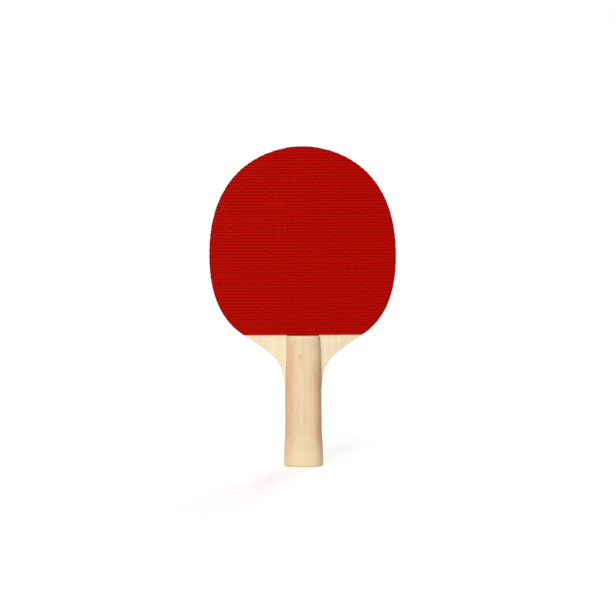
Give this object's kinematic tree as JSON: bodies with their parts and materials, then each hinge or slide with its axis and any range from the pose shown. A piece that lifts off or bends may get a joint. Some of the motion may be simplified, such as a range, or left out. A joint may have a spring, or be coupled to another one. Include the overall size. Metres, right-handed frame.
{
  "type": "table tennis racket",
  "caption": "Table tennis racket: plywood blade with an oval head, pimpled rubber on sponge on both faces, and a straight flared wooden handle with a rounded section.",
  "frame": {"origin": "centre of the butt end, in the middle of the blade's thickness", "axes": "+Z from the butt along the handle to the crown of the head, +X across the head, -Y out of the red side"},
  "size_m": [0.15, 0.0252, 0.257],
  "materials": {
    "core_wood": "matte",
    "cross_veneer": "matte",
    "face_veneer": "matte",
    "scale_wood": "satin",
    "sponge_foam": "matte",
    "red_rubber": "satin",
    "black_rubber": "satin"
  },
  "bodies": {
    "root": {"core_ply": "core_wood", "front_cross_ply": "cross_veneer", "back_cross_ply": "cross_veneer", "front_face_ply": "face_veneer", "back_face_ply": "face_veneer", "front_sponge": "sponge_foam", "back_sponge": "sponge_foam", "front_rubber": "red_rubber", "back_rubber": "black_rubber", "front_handle_scale": "scale_wood", "back_handle_scale": "scale_wood"}
  },
  "joints": []
}
